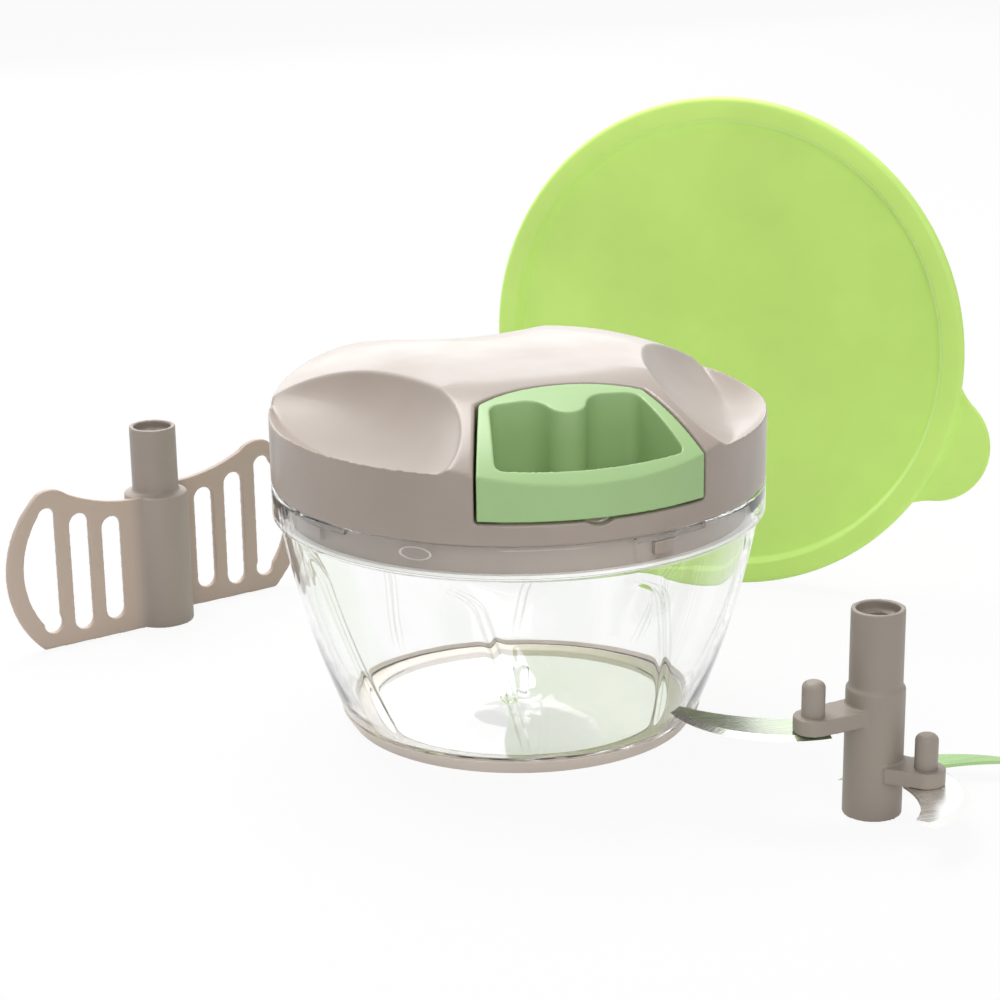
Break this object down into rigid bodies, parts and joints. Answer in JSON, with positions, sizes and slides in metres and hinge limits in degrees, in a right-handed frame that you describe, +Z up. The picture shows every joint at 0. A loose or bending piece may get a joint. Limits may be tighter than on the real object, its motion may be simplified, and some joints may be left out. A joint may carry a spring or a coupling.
{
  "type": "pull-cord food chopper",
  "caption": "Pull-cord food chopper: clear bowl, lid with recoil reel and pull handle, blade unit with sickle blades, slotted mixing paddle and press-fit storage lid.",
  "frame": {"origin": "on the bowl's axis, at the table under its foot ring", "axes": "+Z up along the bowl's axis; the pull handle leaves the lid towards -Y; +X to the right as the handle is faced"},
  "size_m": [0.2794, 0.268, 0.1459],
  "materials": {
    "clear_plastic": "clear, polished",
    "foot_plastic": "satin",
    "seal_rubber": "smooth",
    "lid_plastic": "satin gloss",
    "steel": "plain",
    "green_plastic": "satin gloss",
    "cord_white": "braided",
    "inner_plastic": "as moulded",
    "spring_steel": "blued",
    "column_plastic": "satin",
    "blade_steel": "polished edge",
    "lime_plastic": "soft satin"
  },
  "bodies": {
    "bowl": {"bowl": "clear_plastic", "foot_ring": "foot_plastic"},
    "seal": {"rim_seal": "seal_rubber"},
    "lid": {"lid_base": "lid_plastic", "lid_cover": "lid_plastic", "cover_screws": "steel", "spindle_bush": "inner_plastic", "spring_housing": "inner_plastic", "housing_screws": "steel", "recoil_spring": "spring_steel", "cord_guide": "inner_plastic", "cord_lead": "cord_white"},
    "handle": {"pull_handle": "green_plastic", "cord_end": "cord_white", "knot_plug": "green_plastic"},
    "reel": {"cord_reel": "inner_plastic", "cord_winding": "cord_white", "pawl_pins": "steel"},
    "spindle": {"drive_spindle": "inner_plastic", "ratchet_wheel": "inner_plastic", "reel_washer": "steel", "reel_screw": "steel"},
    "first_pawl_body": {"first_pawl": "inner_plastic"},
    "second_pawl_body": {"second_pawl": "inner_plastic"},
    "blade_unit": {"blade_column": "column_plastic", "upper_blade": "blade_steel", "middle_blade": "blade_steel", "lower_blade": "blade_steel", "blade_pegs": "column_plastic"},
    "paddle": {"mixing_paddle": "column_plastic"},
    "store_lid": {"storage_lid": "lime_plastic"}
  },
  "joints": [
    {"name": "lid_lift", "type": "slide", "parent": "bowl", "child": "seal", "axis": [0, 0, 1], "range_m": [0, 0.12]},
    {"name": "lid_twist", "type": "hinge", "parent": "seal", "child": "lid", "pos_m": [0, 0, 0.065], "axis": [0, 0, 1], "range_deg": [0, 30]},
    {"name": "handle_pull", "type": "slide", "parent": "lid", "child": "handle", "axis": [0, -1, 0], "range_m": [0, 0.24], "stiffness_N_per_m": 10, "springref_m": -0.08},
    {"name": "reel_spin", "type": "hinge", "parent": "lid", "child": "reel", "pos_m": [0, 0, 0.08], "axis": [0, 0, 1], "range_deg": [0, 690]},
    {"name": "spindle_spin", "type": "hinge", "parent": "lid", "child": "spindle", "pos_m": [0, 0, 0.07], "axis": [0, 0, 1], "range_deg": [0, 690]},
    {"name": "first_pawl_swing", "type": "hinge", "parent": "reel", "child": "first_pawl_body", "pos_m": [0.017, 0, 0.0725], "axis": [0, 0, -1], "range_deg": [0, 15]},
    {"name": "second_pawl_swing", "type": "hinge", "parent": "reel", "child": "second_pawl_body", "pos_m": [-0.017, 0, 0.0725], "axis": [0, 0, -1], "range_deg": [0, 15]},
    {"name": "blade_unit_lift", "type": "slide", "parent": "bowl", "child": "blade_unit", "axis": [0, 0, 1], "range_m": [0, 0.08]},
    {"name": "paddle_lift", "type": "slide", "parent": "bowl", "child": "paddle", "axis": [0, 0, 1], "range_m": [0, 0.08]},
    {"name": "storage_lid_lift", "type": "slide", "parent": "bowl", "child": "store_lid", "axis": [0, 0, 1], "range_m": [0, 0.08]}
  ],
  "couplings": [
    {"joint": "reel_spin", "follows": "handle_pull", "rad_per_m": 50},
    {"joint": "spindle_spin", "follows": "handle_pull", "rad_per_m": 50}
  ]
}
